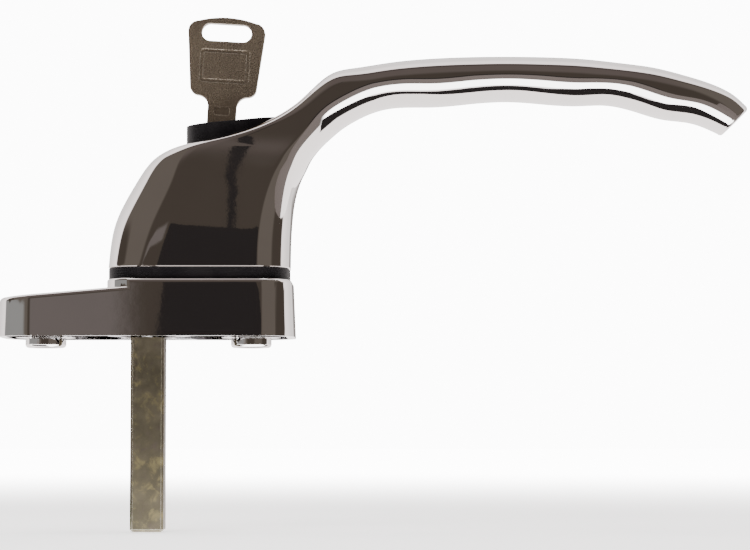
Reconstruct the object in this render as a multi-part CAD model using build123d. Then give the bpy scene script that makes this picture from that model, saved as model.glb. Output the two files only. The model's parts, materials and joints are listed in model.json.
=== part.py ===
from build123d import *
import math
import os

# Locking inline window handle with its key, in millimetres.
#
# Frame: the origin is on the spindle axis, on the back face of the base that
# lies against the window.  +Z points into the room, +X runs along the lever in
# the closed pose and along the row of the two fixing screws.
#
# A square spindle turns the window gear.  The handle turns on a spigot in the
# base, over a ball detent every quarter turn.  The key turns a plug in the neck
# of the handle, and a scroll cam on the plug slides a bolt whose foot drops
# into a notch of the base and blocks the handle.

# ---------------------------------------------------------------- dimensions

# Fixing interface
SCREW_CENTRES = 43.0
SCREW_HOLE_R = 2.65
SCREW_HEAD_R = 4.6
SCREW_SEAT_Z = 4.0
LUG_R = 4.25
LUG_HEIGHT = 2.1
LUG_EDGE_R = 0.7
SPINDLE_SIDE = 7.0
SPINDLE_REACH = 40.4
SPINDLE_EDGE = 0.5
SPINDLE_DEPTH = 22.0

# Base plate
BASE_LENGTH = 61.4
BASE_WIDTH = 28.0
BASE_CORNER_R = 8.0
BASE_WALL = 1.7
BASE_DRAFT = 2.4
BASE_EDGE_R = 1.0
PLATFORM_Z = 11.9
WING_END_Z = 7.9
WING_ROOT_Z = 9.85
POCKET_Z = 5.6
HUB_FOOT_Z = 2.6
BOSS_R = 6.2
RIB_HALF = 0.7

# Handle body and the slip ring that closes it
BODY_X0 = -8.1
BODY_X1 = 29.7
BODY_HALF = 12.3
BODY_CORNER_R = 8.0
RING_HEIGHT = 2.2
RUN_GAP = 0.1
BODY_Z = PLATFORM_Z + RUN_GAP + RING_HEIGHT
SPIGOT_WALL = 2.5
SPIGOT_R = SPINDLE_SIDE / 2 + SPIGOT_WALL
SPIGOT_FOOT_Z = 0.0
HUB_R = SPIGOT_R + 3.4

# Spigot retention, from the back face upward
GROOVE_Z = 0.45
CLIP_THICK = 0.7
CLIP_R = SPIGOT_R + 1.2
CLIP_GROOVE_DEPTH = 0.55
WASHER_R = SPIGOT_R + 2.7
WASHER_Z = 0.4
WASHER_TOP_Z = 1.8
PIN_R = 0.9
PIN_Z = 7.0

# Detent
BALL_R = 1.1
TRACK_R = SPIGOT_R + 1.4
TRACK_DEPTH = 0.5
TRACK_SIDE_GAP = 0.028
TRACK_HALF = math.sqrt(TRACK_DEPTH * (2 * BALL_R - TRACK_DEPTH)) + TRACK_SIDE_GAP
POCKET_EXTRA = 0.25
BALL_ANGLES = (45.0, -45.0)
DETENT_ANGLES = (-135.0, -45.0, 45.0, 135.0)
SPRING_WIRE_R = 0.17
SPRING_TOP_Z = 19.0

# Lock bolt
BOLT_LIFT = 2.1
BOLT_X0 = 8.6
BOLT_X1 = 21.4
BOLT_HALF = 4.0
BOLT_THICK = 1.6
FOOT_X0 = 10.9
FOOT_X1 = 12.3
FOOT_HALF = 1.4
FOOT_Z = 8.6
RECESS_R0 = 10.6
RECESS_R1 = 12.6
RECESS_Z = 8.3
RECESS_SECTOR = 100.0
NOTCH_ANGLES = (-90.0, 0.0, 90.0)
FIT = 0.2

# Lock cylinder
LOCK_X = 15.2
LOCK_TOP_Z = 44.0
HOUSING_R = 6.3
HOUSING_SEAT_Z = 22.2
HOUSING_NECK_R = HOUSING_R - 0.7
HOUSING_NECK_Z = 19.05
CHAMBER_ROOF_Z = 20.3
CHAMBER_R = 7.2
HOUSING_CLIP_Z = 19.45
HOUSING_CLIP_R = HOUSING_R + 0.5
HOUSING_CLIP_DEPTH = 0.4
HOUSING_WALL = 1.4
PLUG_R = HOUSING_R - HOUSING_WALL
PLUG_HEAD_R = PLUG_R + 0.5
PLUG_HEAD_THICK = 1.0
PLUG_STEP_Z = 24.0
PLUG_TAIL_R = 3.6
TAIL_SIDE = 3.4
KEYWAY_WALL = 1.3
KEYWAY_HALF_X = PLUG_R - KEYWAY_WALL
KEYWAY_HALF_Y = 1.15
KEYWAY_Z = 28.4
CAM_Z = 17.5
CAM_THICK = 1.4
CAM_R = 6.9
CAM_PIN_R = 0.8
CAM_PIN_ARM = 3.3
CAM_STEPS = 9
WAFER_LEVELS = (40.0, 37.0, 34.0, 31.0)
WAFER_THICK = 0.8
WAFER_R = PLUG_R - 0.1
WAFER_HALF_Y = 2.2
WAFER_TRAVEL = 0.4
WAFER_LUG = 0.6
WAFER_SPRING_R = 0.42
WAFER_SPRING_WIRE_R = 0.1
WAFER_SPRING_LENGTH = PLUG_R - 2.9

# Lock surround on the neck of the handle
SURROUND_R = 7.4
SURROUND_REACH = 5.3
SURROUND_EDGE = ((7.0, 44.3), (17.4, 44.95), (28.4, 46.3))

# Key
KEY_THICK = 2.0
KEY_TILT = 3.4
KEY_X = 15.0
KEY_Z = LOCK_TOP_Z + 0.25
NECK_HALF = 3.0
NECK_LENGTH = 4.3
BOW_FOOT_HALF = 7.0
BOW_FOOT_Z = 8.4
BOW_TOP_HALF = 8.1
BOW_SHOULDER_Z = 20.0
BOW_TOP_Z = 23.2
BOW_SLOT_LENGTH = 10.5
BOW_SLOT_HEIGHT = 3.7
BOW_SLOT_Z = 20.0
PANEL_WIDTH = 10.4
PANEL_HEIGHT = 7.0
PANEL_Z = 12.9
PANEL_DEPTH = 0.25
PANEL_BORDER = 0.7
STAMP_WIDTH = 3.2
STAMP_HEIGHT = 1.7
STAMP_Z = 3.4
BLADE_HALF = KEYWAY_HALF_X - 1.3
BLADE_THICK = 1.8
BLADE_LENGTH = 15.0
BLADE_CUTS = (0.5, 0.8, 0.35, 0.65)

# Small fasteners
COVER_SCREW_X = 25.6
COVER_SCREW_Y = 7.6
COVER_SCREW_R = 1.0
COVER_HEAD_R = 1.8
COVER_HEAD_THICK = 1.0
COVER_SCREW_TOP_Z = 19.0
CAM_SCREW_R = 1.2
CAM_SCREW_HEAD_R = 2.0
CAM_SCREW_HEAD = 1.0
CAM_SCREW_TOP_Z = 22.0
CAM_WASHER_R = 2.3
CAM_WASHER_THICK = 0.4
CAP_THICK = 1.5

# The handle is one sweep of rounded rectangles that fan round the bend.  Each
# section runs from a point on the outer (room side) line to a point on the
# inner (finger side) line: outer (x, z), inner (x, z), half width, outer
# corner radius, inner corner radius.
HANDLE_SECTIONS = (
    ((BODY_X0, BODY_Z), (BODY_X1, BODY_Z), BODY_HALF, 8.0, 8.0),
    ((-7.8, 18.4), (29.75, 18.0), BODY_HALF, 8.0, 7.6),
    ((-7.0, 23.2), (29.9, 22.0), BODY_HALF - 0.1, 7.4, 7.2),
    ((-5.1, 27.9), (30.3, 26.4), BODY_HALF - 0.3, 6.6, 6.8),
    ((-2.2, 33.0), (31.0, 30.2), BODY_HALF - 0.6, 5.4, 6.2),
    ((1.7, 37.6), (32.2, 33.6), BODY_HALF - 1.0, 3.4, 5.6),
    ((7.4, 39.9), (33.6, 36.5), BODY_HALF - 1.5, 2.0, 5.0),
    ((14.0, 41.2), (35.0, 38.7), BODY_HALF - 2.0, 1.6, 4.6),
    ((22.5, 43.8), (36.8, 40.7), BODY_HALF - 2.4, 1.6, 4.2),
    ((30.5, 48.6), (39.0, 42.7), BODY_HALF - 2.8, 1.8, 4.0),
    ((38.1, 55.4), (42.3, 45.1), BODY_HALF - 3.0, 2.2, 4.0),
    ((43.0, 56.7), (45.8, 46.9), BODY_HALF - 3.1, 2.8, 4.0),
    ((50.7, 57.9), (51.5, 48.4), BODY_HALF - 3.2, 3.2, 4.0),
    ((60.0, 58.75), (60.0, 48.6), BODY_HALF - 3.3, 3.6, 4.0),
    ((68.0, 59.05), (67.8, 49.3), BODY_HALF - 3.3, 3.8, 4.0),
    ((76.5, 59.1), (76.0, 49.7), BODY_HALF - 3.3, 3.8, 4.0),
    ((85.0, 58.95), (84.0, 49.1), BODY_HALF - 3.3, 3.8, 4.0),
    ((92.5, 58.5), (90.6, 48.85), BODY_HALF - 3.4, 3.8, 4.0),
    ((99.5, 57.7), (96.2, 48.95), BODY_HALF - 3.5, 3.8, 4.0),
    ((106.0, 56.8), (102.3, 47.6), BODY_HALF - 3.7, 3.8, 4.0),
    ((112.0, 55.3), (107.8, 46.0), BODY_HALF - 4.0, 3.8, 4.0),
    ((118.0, 53.4), (113.0, 45.35), BODY_HALF - 4.4, 3.6, 3.8),
    ((122.6, 51.1), (116.6, 44.3), BODY_HALF - 4.9, 3.4, 3.4),
    ((125.3, 49.2), (119.0, 42.8), BODY_HALF - 5.4, 3.0, 2.8),
    ((125.9, 48.1), (120.1, 42.5), BODY_HALF - 6.0, 2.6, 2.4),
)

STAND = (Align.CENTER, Align.CENTER, Align.MIN)
MANY = 60.0


# ------------------------------------------------------------ plain shapes

def disc(radius, z0, z1, x=0.0, y=0.0):
    """An upright cylinder between two heights."""
    return Pos(x, y, z0) * Cylinder(radius, z1 - z0, align=STAND)


def ring(outer, inner, z0, z1, x=0.0, y=0.0):
    """An upright tube between two heights."""
    return disc(outer, z0, z1, x, y) - disc(inner, z0 - 1, z1 + 1, x, y)


def block(x0, x1, half_y, z0, z1):
    """A box that straddles the XZ plane."""
    centre = Pos((x0 + x1) / 2, 0, (z0 + z1) / 2)
    return centre * Box(x1 - x0, 2 * half_y, z1 - z0)


def side_prism(points, half_y):
    """A prism of an outline in the XZ plane."""
    outline = make_face(Polyline(*points, close=True))
    return extrude(Plane.XZ * outline, half_y, both=True)


def at_angle(shape, angle):
    """The shape turned about the spindle axis."""
    return Rot(0, 0, angle) * shape


def split_ring(outer, inner, z0, z1, gap, x=0.0):
    """A retaining ring, open on its +Y side."""
    opening = Pos(x, outer, (z0 + z1) / 2) * Box(gap, 2 * outer, 2 * (z1 - z0))
    return ring(outer, inner, z0, z1, x) - opening


def coil(radius, wire, length, turns):
    """A closed-end compression spring that stands on the XY plane."""
    rise = length - 2 * wire
    path = Helix(rise / turns, rise, radius)
    section = Plane(path @ 0, z_dir=path % 0) * Circle(wire)
    return Pos(0, 0, wire) * sweep(section, path, is_frenet=True)


# ------------------------------------------------------------------- base

def wing_height(x):
    """Height of the sloping wing top at a distance along the base."""
    end_x = -BASE_LENGTH / 2
    slope = (WING_ROOT_Z - WING_END_Z) / (BODY_X0 - end_x)
    return WING_END_Z + slope * (x - end_x)


def under_wing(half_y):
    """Everything below the sloping top of the wing."""
    left = -BASE_LENGTH
    right = BASE_LENGTH
    points = ((left, 0), (right, 0), (right, wing_height(right)), (left, wing_height(left)))
    return side_prism(points, half_y)


def drafted_block():
    """The full plan of the base, drafted, up to the platform."""
    outline = RectangleRounded(BASE_LENGTH, BASE_WIDTH, BASE_CORNER_R)
    return extrude(outline, PLATFORM_Z, taper=BASE_DRAFT)


def wing_body():
    """The low end of the base, with its sloping top rounded at the rim."""
    root_x = BODY_X0 + 2 * BODY_CORNER_R
    low = drafted_block() & under_wing(BASE_WIDTH)
    low &= block(-BASE_LENGTH, root_x, BASE_WIDTH, 0, PLATFORM_Z)
    rim = low.faces().sort_by(Axis.Z)[-1].edges().filter_by(lambda edge: edge.center().X < root_x - 1)
    return fillet(rim, BASE_EDGE_R)


def platform_body():
    """The high end of the base, which the handle turns on."""
    body = drafted_block()
    body = fillet(body.faces().sort_by(Axis.Z)[-1].edges(), BASE_EDGE_R)
    plan = RectangleRounded(2 * BASE_LENGTH, BASE_WIDTH, BODY_CORNER_R)
    prism = extrude(Pos(BODY_X0 + BASE_LENGTH, 0, 0) * plan, PLATFORM_Z)
    prism = fillet(prism.faces().sort_by(Axis.Z)[-1].edges(), BASE_EDGE_R / 2)
    return body & prism


def base_outer():
    """The base as a block, stepped down from its platform to the wing."""
    return wing_body() + platform_body()


def base_underside():
    """The hollow below the base, around its hub, screw bosses and ribs."""
    inner_r = BASE_CORNER_R - BASE_WALL
    outline = RectangleRounded(BASE_LENGTH - 2 * BASE_WALL, BASE_WIDTH - 2 * BASE_WALL, inner_r)
    hollow = extrude(outline, POCKET_Z)
    hollow -= disc(HUB_R, HUB_FOOT_Z, POCKET_Z + 1)
    hollow -= block(-SCREW_CENTRES / 2, SCREW_CENTRES / 2, RIB_HALF, HUB_FOOT_Z, POCKET_Z + 1)
    for x in (-SCREW_CENTRES / 2, SCREW_CENTRES / 2):
        hollow -= disc(BOSS_R, -1, POCKET_Z + 1, x)
    return hollow


def screw_seat(x):
    """The clearance hole and counterbore of one fixing screw."""
    hole = disc(SCREW_HOLE_R, -LUG_HEIGHT - 1, PLATFORM_Z + 1, x)
    return hole + disc(SCREW_HEAD_R, SCREW_SEAT_Z, PLATFORM_Z + 1, x)


def lug(x):
    """A locating lug round a fixing hole, with a rounded end."""
    stub = disc(LUG_R, -LUG_HEIGHT, 1, x)
    return fillet(stub.edges().sort_by(Axis.Z)[0], LUG_EDGE_R)


def bolt_path():
    """The arc that the bolt's foot runs in, with its locking notches."""
    far = 2 * RECESS_R1
    reach = math.radians(RECESS_SECTOR)
    corner = (far * math.cos(reach), far * math.sin(reach))
    back = (-far, far)
    points = ((0, 0), corner, back, (back[0], -back[1]), (corner[0], -corner[1]))
    wedge = extrude(make_face(Polyline(*points, close=True)), PLATFORM_Z + 1)
    path = ring(RECESS_R1, RECESS_R0, RECESS_Z, PLATFORM_Z + 1) - wedge
    notch_x0 = FOOT_X0 - BOLT_LIFT - FIT
    notch = block(notch_x0, RECESS_R0 + FIT, FOOT_HALF + FIT, RECESS_Z, PLATFORM_Z + 1)
    for angle in NOTCH_ANGLES:
        path += at_angle(notch, angle)
    return path


def ball_height():
    """Centre height of a detent ball that rides in its track."""
    return PLATFORM_Z - TRACK_DEPTH + BALL_R


def detent_track(plate):
    """Cuts the ring groove for the balls, with a pocket at each stop."""
    floor = PLATFORM_Z - TRACK_DEPTH
    groove = ring(TRACK_R + TRACK_HALF, TRACK_R - TRACK_HALF, floor, PLATFORM_Z + 1)
    plate -= groove
    pocket = Pos(TRACK_R, 0, ball_height() - POCKET_EXTRA) * Sphere(BALL_R + 0.02)
    for angle in DETENT_ANGLES:
        plate -= at_angle(pocket, angle)
    return plate


def base_plate():
    """The cast base with its lugs, hub, bolt path and detent track."""
    plate = base_outer() - base_underside()
    for x in (-SCREW_CENTRES / 2, SCREW_CENTRES / 2):
        plate += lug(x)
        plate -= screw_seat(x)
    plate -= disc(SPIGOT_R + RUN_GAP, -1, PLATFORM_Z + 1)
    plate -= bolt_path()
    return detent_track(plate)


def screw_cap():
    """The cap that closes the open counterbore, flush with the wing."""
    x = -SCREW_CENTRES / 2
    low = wing_height(x) - CAP_THICK
    blank = disc(SCREW_HEAD_R - 0.05, low, PLATFORM_Z, x)
    return blank & under_wing(BASE_WIDTH)


# ----------------------------------------------------------------- handle

def handle_section(outer, inner, half_width, outer_r, inner_r):
    """One rounded rectangle of the handle, across the line outer to inner."""
    rise = Vector(outer[0] - inner[0], 0, outer[1] - inner[1])
    centre = ((outer[0] + inner[0]) / 2, 0, (outer[1] + inner[1]) / 2)
    across = Vector(0, 1, 0)
    plane = Plane(origin=centre, x_dir=across, z_dir=across.cross(rise))
    shape = Rectangle(2 * half_width, rise.length)
    shape = fillet(shape.vertices().sort_by(Axis.Y)[-2:], outer_r)
    shape = fillet(shape.vertices().sort_by(Axis.Y)[:2], inner_r)
    return plane * shape


def handle_outer():
    """The outer shape of the body, neck and lever."""
    return loft([handle_section(*section) for section in HANDLE_SECTIONS])


def cover_screw_places():
    """Plan positions of the two screws that hold the slip ring."""
    return ((COVER_SCREW_X, COVER_SCREW_Y), (COVER_SCREW_X, -COVER_SCREW_Y))


def ball_places():
    """Plan positions of the two detent balls in the handle."""
    turns = [math.radians(angle) for angle in BALL_ANGLES]
    return [(TRACK_R * math.cos(turn), TRACK_R * math.sin(turn)) for turn in turns]


def handle_spigot():
    """The hollow spigot that turns in the base."""
    spigot = disc(SPIGOT_R, SPIGOT_FOOT_Z, BODY_Z + 1)
    groove_top = GROOVE_Z + CLIP_THICK + 0.1
    spigot -= ring(SPIGOT_R + 1, SPIGOT_R - CLIP_GROOVE_DEPTH, GROOVE_Z, groove_top)
    return spigot


def handle_cavities():
    """Everything cut from the handle: socket, bolt channel, lock chamber, pockets."""
    socket = SPINDLE_SIDE / 2 + 0.05
    cut = block(-socket, socket, socket, SPIGOT_FOOT_Z - 1, SPINDLE_DEPTH + FIT)
    cut += Pos(0, 0, PIN_Z) * Rot(90, 0, 0) * Cylinder(PIN_R + 0.02, 2 * SPIGOT_R + 2)
    channel_x0 = BOLT_X0 - BOLT_LIFT - FIT
    channel_top = BODY_Z + BOLT_THICK + 2 * RUN_GAP
    cut += block(channel_x0, BOLT_X1 + FIT, BOLT_HALF + FIT, BODY_Z - 1, channel_top)
    cut += disc(CHAMBER_R, BODY_Z - 1, CHAMBER_ROOF_Z, LOCK_X)
    cut += disc(HOUSING_NECK_R + 0.05, BODY_Z, HOUSING_SEAT_Z + 1, LOCK_X)
    cut += disc(HOUSING_R + 0.05, HOUSING_SEAT_Z, LOCK_TOP_Z + MANY, LOCK_X)
    for x, y in ball_places():
        cut += disc(BALL_R + 0.05, BODY_Z - 1, SPRING_TOP_Z, x, y)
    for x, y in cover_screw_places():
        cut += disc(COVER_SCREW_R + 0.02, BODY_Z - 1, COVER_SCREW_TOP_Z + 1, x, y)
    return cut


def handle_casting(outer):
    """The cast handle: body, neck, lever and spigot."""
    return outer + handle_spigot() - handle_cavities()


def ring_openings(z0):
    """What is cut through the slip ring: spigot, bolt foot, balls and screws."""
    side = 1.5 * FIT
    cut = disc(SPIGOT_R + 0.05, z0 - 1, BODY_Z + 1)
    cut += block(FOOT_X0 - BOLT_LIFT - side, FOOT_X1 + side, FOOT_HALF + side, z0 - 1, BODY_Z + 1)
    for x, y in ball_places():
        cut += disc(BALL_R + 0.05, z0 - 1, BODY_Z + 1, x, y)
    slope = (COVER_HEAD_R - COVER_SCREW_R) / COVER_HEAD_THICK
    sink = COVER_HEAD_THICK + 0.5
    sink_r = COVER_HEAD_R + 0.05
    for x, y in cover_screw_places():
        cut += disc(COVER_SCREW_R + 0.02, z0 - 1, BODY_Z + 1, x, y)
        cut += Pos(x, y, z0) * Cone(sink_r, sink_r - slope * sink, sink, align=STAND)
    return cut


def slip_ring():
    """The black cover under the body, which slides on the base."""
    inset = 0.15
    length = BODY_X1 - BODY_X0 - 2 * inset
    middle = (BODY_X0 + BODY_X1) / 2
    plan = RectangleRounded(length, 2 * (BODY_HALF - inset), BODY_CORNER_R - inset)
    z0 = BODY_Z - RING_HEIGHT
    return extrude(Pos(middle, 0, z0) * plan, RING_HEIGHT) - ring_openings(z0)


def cover_screws():
    """Two countersunk screws, from below through the slip ring into the body."""
    z0 = BODY_Z - RING_HEIGHT + 0.02
    screws = []
    for x, y in cover_screw_places():
        head = Pos(x, y, z0) * Cone(COVER_HEAD_R, COVER_SCREW_R, COVER_HEAD_THICK, align=STAND)
        drive = Pos(x, y, z0) * Box(2 * COVER_HEAD_R, 0.4, 0.8)
        screws.append(head + disc(COVER_SCREW_R, z0, COVER_SCREW_TOP_Z, x, y) - drive)
    return Compound(children=screws)


# ---------------------------------------------------- spindle and retention

def spindle():
    """The square bar that turns the window gear."""
    length = SPINDLE_REACH + SPINDLE_DEPTH
    bar = Pos(0, 0, -SPINDLE_REACH) * Box(SPINDLE_SIDE, SPINDLE_SIDE, length, align=STAND)
    bar = chamfer(bar.edges().filter_by(Axis.Z), SPINDLE_EDGE)
    bar = chamfer(bar.faces().sort_by(Axis.Z)[0].edges(), SPINDLE_EDGE)
    return bar - Pos(0, 0, PIN_Z) * Rot(90, 0, 0) * Cylinder(PIN_R + 0.02, 2 * SPINDLE_SIDE)


def spindle_pin():
    """The cross pin that holds the spindle in the spigot."""
    return Pos(0, 0, PIN_Z) * Rot(90, 0, 0) * Cylinder(PIN_R, 2 * SPIGOT_R - 0.4)


def retaining_washer():
    """The washer under the hub, recessed for the clip."""
    washer = ring(WASHER_R, SPIGOT_R + 0.05, WASHER_Z, WASHER_TOP_Z)
    return washer - disc(CLIP_R + 0.1, WASHER_Z - 1, GROOVE_Z + CLIP_THICK + 0.1)


def retaining_circlip():
    """The clip in the spigot's groove."""
    z0 = GROOVE_Z + 0.05
    inner = SPIGOT_R - CLIP_GROOVE_DEPTH + 0.03
    return split_ring(CLIP_R, inner, z0, z0 + CLIP_THICK, 3.0)


def disc_spring():
    """The conical spring washer that takes up the play under the hub."""
    inner = SPIGOT_R + 0.15
    outer = HUB_R - 0.6
    low = WASHER_TOP_Z
    high = HUB_FOOT_Z - 0.02
    thick = 0.35
    points = ((inner, low), (outer, high - thick), (outer, high), (inner, low + thick))
    face = Plane.XZ * make_face(Polyline(*points, close=True))
    return revolve(face, Axis.Z, 360)


# ----------------------------------------------------------------- detent

def detent_ball(x, y):
    """One detent ball on the floor of its track."""
    return Pos(x, y, ball_height()) * Sphere(BALL_R)


def detent_spring(x, y):
    """The spring above one detent ball."""
    z0 = ball_height() + BALL_R
    spring = coil(BALL_R - 2 * SPRING_WIRE_R, SPRING_WIRE_R, SPRING_TOP_Z - z0, 6)
    return Pos(x, y, z0) * spring


# ------------------------------------------------------------------- lock

def lock_surround(outer):
    """The black collar round the lock, seated on the neck of the handle."""
    plan = Pos(LOCK_X, 0, 0) * Circle(SURROUND_R)
    plan += Pos(LOCK_X + SURROUND_REACH, 0, 0) * Circle(SURROUND_R)
    plan += Pos(LOCK_X + SURROUND_REACH / 2, 0, 0) * Rectangle(SURROUND_REACH, 2 * SURROUND_R)
    collar = extrude(plan, LOCK_TOP_Z + MANY)
    start, middle, end = SURROUND_EDGE
    top = ThreePointArc(start, middle, end)
    sides = Polyline(end, (end[0], HOUSING_SEAT_Z), (start[0], HOUSING_SEAT_Z), start)
    profile = make_face([top, sides])
    collar &= extrude(Plane.XZ * profile, BODY_HALF, both=True)
    collar -= outer
    collar -= disc(HOUSING_R + 0.05, 0, LOCK_TOP_Z + MANY, LOCK_X)
    return collar


def lock_housing():
    """The fixed sleeve of the cylinder, grooved for the wafers."""
    sleeve = disc(HOUSING_R, HOUSING_SEAT_Z, LOCK_TOP_Z, LOCK_X)
    sleeve += disc(HOUSING_NECK_R, HOUSING_NECK_Z, HOUSING_SEAT_Z + 1, LOCK_X)
    sleeve -= disc(PLUG_TAIL_R + 0.1, HOUSING_NECK_Z - 1, LOCK_TOP_Z, LOCK_X)
    sleeve -= disc(PLUG_R + 0.1, PLUG_STEP_Z - 0.1, LOCK_TOP_Z + 1, LOCK_X)
    head_z = LOCK_TOP_Z - PLUG_HEAD_THICK - 0.05
    sleeve -= disc(PLUG_HEAD_R + 0.1, head_z, LOCK_TOP_Z + 1, LOCK_X)
    reach = WAFER_R + WAFER_TRAVEL + 0.3
    half = WAFER_HALF_Y + 0.25
    z0 = WAFER_LEVELS[-1] - WAFER_THICK
    z1 = WAFER_LEVELS[0] + WAFER_THICK
    sleeve -= block(LOCK_X - reach, LOCK_X + reach, half, z0, z1)
    sleeve -= block(LOCK_X - half, LOCK_X + half, reach, z0, z1)
    clip_r = HOUSING_NECK_R - HOUSING_CLIP_DEPTH
    clip_top = HOUSING_CLIP_Z + CLIP_THICK + 0.1
    sleeve -= ring(HOUSING_NECK_R + 1, clip_r, HOUSING_CLIP_Z, clip_top, LOCK_X)
    return sleeve


def housing_circlip():
    """The clip that holds the housing in the handle."""
    z0 = HOUSING_CLIP_Z + 0.05
    inner = HOUSING_NECK_R - HOUSING_CLIP_DEPTH + 0.03
    return split_ring(HOUSING_CLIP_R, inner, z0, z0 + CLIP_THICK, 3.0, LOCK_X)


def wafer_side(index):
    """Direction along X in which a wafer springs out: +1 or -1."""
    return 1 if index % 2 == 0 else -1


def wafer_spring_pocket(index, level):
    """The pocket in the plug for a wafer's lug and spring."""
    side = wafer_side(index)
    back = -side * (WAFER_LUG + WAFER_SPRING_LENGTH + 0.03)
    front = side * (WAFER_LUG + WAFER_TRAVEL + 0.1)
    half = WAFER_SPRING_R + WAFER_SPRING_WIRE_R + 0.05
    centre_y = WAFER_HALF_Y + half
    width = abs(front - back)
    pocket = Box(width, 2 * half + 0.1, 2 * half)
    return Pos(LOCK_X + (back + front) / 2, centre_y, level) * pocket


def lock_plug():
    """The turning plug with its keyway, wafer slots and square tail."""
    plug = disc(PLUG_R, PLUG_STEP_Z, LOCK_TOP_Z, LOCK_X)
    plug += disc(PLUG_HEAD_R, LOCK_TOP_Z - PLUG_HEAD_THICK, LOCK_TOP_Z, LOCK_X)
    plug += disc(PLUG_TAIL_R, CAM_Z + CAM_THICK + 0.05, PLUG_STEP_Z + 1, LOCK_X)
    half_tail = TAIL_SIDE / 2
    plug += block(LOCK_X - half_tail, LOCK_X + half_tail, half_tail, CAM_Z + 0.02, PLUG_STEP_Z)
    plug -= block(
        LOCK_X - KEYWAY_HALF_X, LOCK_X + KEYWAY_HALF_X, KEYWAY_HALF_Y, KEYWAY_Z, LOCK_TOP_Z + 1
    )
    for index, level in enumerate(WAFER_LEVELS):
        half = WAFER_THICK / 2 + 0.05
        plug -= block(
            LOCK_X - 2 * PLUG_R, LOCK_X + 2 * PLUG_R, WAFER_HALF_Y + 0.05, level - half, level + half
        )
        plug -= wafer_spring_pocket(index, level)
    return plug - disc(CAM_SCREW_R + 0.02, CAM_Z - 1, CAM_SCREW_TOP_Z + 0.3, LOCK_X)


def wafer(index, level):
    """One wafer: a windowed plate with rounded ends and a spring lug."""
    z0 = level - WAFER_THICK / 2
    z1 = level + WAFER_THICK / 2
    plate = disc(WAFER_R, z0, z1, LOCK_X)
    plate &= block(LOCK_X - WAFER_R, LOCK_X + WAFER_R, WAFER_HALF_Y, z0, z1)
    slack = WAFER_TRAVEL + 0.1
    tip_x = KEY_X - BLADE_LENGTH * math.sin(math.radians(KEY_TILT))
    window_y = BLADE_THICK / 2 + 0.3
    plate -= block(tip_x - BLADE_HALF - slack, KEY_X + BLADE_HALF + slack, window_y, z0 - 1, z1 + 1)
    lug_y = 2 * (WAFER_SPRING_R + WAFER_SPRING_WIRE_R)
    lug_box = Box(2 * WAFER_LUG, lug_y + 0.2, WAFER_THICK)
    return plate + Pos(LOCK_X, WAFER_HALF_Y + lug_y / 2 - 0.1, level) * lug_box


def wafer_springs():
    """The four small springs that push the wafers out of the plug."""
    springs = []
    for index, level in enumerate(WAFER_LEVELS):
        side = wafer_side(index)
        far_x = LOCK_X - side * (WAFER_LUG + WAFER_SPRING_LENGTH)
        near_y = WAFER_HALF_Y + WAFER_SPRING_R + WAFER_SPRING_WIRE_R + 0.05
        spring = coil(WAFER_SPRING_R, WAFER_SPRING_WIRE_R, WAFER_SPRING_LENGTH - 0.02, 4)
        springs.append(Pos(far_x, near_y, level) * Rot(0, side * 90, 0) * spring)
    return Compound(children=springs)


def scroll_point(share, aside):
    """A point beside the cam slot's centre line, whose arm grows evenly with the turn."""
    arm = CAM_PIN_ARM + BOLT_LIFT * share + aside
    turn = math.pi * (1 - share / 2)
    return (LOCK_X + arm * math.cos(turn), arm * math.sin(turn))


def scroll_slot():
    """Outline of the cam's curved slot, round at both ends."""
    half = CAM_PIN_R + 0.12
    shares = [step / (CAM_STEPS - 1) for step in range(CAM_STEPS)]
    inner = [scroll_point(share, -half) for share in shares]
    outer = [scroll_point(share, half) for share in shares]
    start = scroll_point(0, 0)
    end = scroll_point(1, 0)
    return make_face([
        Spline(*inner),
        Spline(*outer),
        ThreePointArc(inner[0], (start[0], start[1] - half), outer[0]),
        ThreePointArc(inner[-1], (end[0] + half, end[1]), outer[-1]),
    ])


def lock_cam():
    """The scroll cam on the plug's tail; its curved slot drives the bolt."""
    cam = disc(CAM_R, CAM_Z, CAM_Z + CAM_THICK, LOCK_X)
    half = TAIL_SIDE / 2 + 0.05
    cam -= block(LOCK_X - half, LOCK_X + half, half, CAM_Z - 1, CAM_Z + CAM_THICK + 1)
    return cam - extrude(Pos(0, 0, CAM_Z - 1) * scroll_slot(), CAM_THICK + 2)


def cam_washer():
    """The washer between the cam and its screw."""
    return ring(CAM_WASHER_R, CAM_SCREW_R + 0.05, CAM_Z - CAM_WASHER_THICK, CAM_Z, LOCK_X)


def cam_screw():
    """The screw that holds the cam on the plug."""
    head_top = CAM_Z - CAM_WASHER_THICK
    head = disc(CAM_SCREW_HEAD_R, head_top - CAM_SCREW_HEAD, head_top, LOCK_X)
    slot = block(LOCK_X - 3, LOCK_X + 3, 0.25, head_top - CAM_SCREW_HEAD - 1, head_top - 0.6)
    return head - slot + disc(CAM_SCREW_R, head_top - 0.3, CAM_SCREW_TOP_Z, LOCK_X)


# ------------------------------------------------------------------- bolt

def lock_bolt():
    """The sliding bolt: a plate in the body and a foot that reaches the base."""
    z0 = BODY_Z + RUN_GAP
    plate = block(BOLT_X0, BOLT_X1, BOLT_HALF, z0, z0 + BOLT_THICK)
    plate = fillet(plate.edges().filter_by(Axis.Z), 1.0)
    plate += block(FOOT_X0, FOOT_X1, FOOT_HALF, FOOT_Z, z0 + 0.5)
    return plate - disc(CAM_PIN_R, z0 - 0.01, z0 + BOLT_THICK + 1, LOCK_X - CAM_PIN_ARM)


def bolt_pin():
    """The pin that stands on the bolt and runs in the cam's slot."""
    return disc(CAM_PIN_R, BODY_Z + RUN_GAP, CAM_Z + CAM_THICK - 0.2, LOCK_X - CAM_PIN_ARM)


# -------------------------------------------------------------------- key

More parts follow.
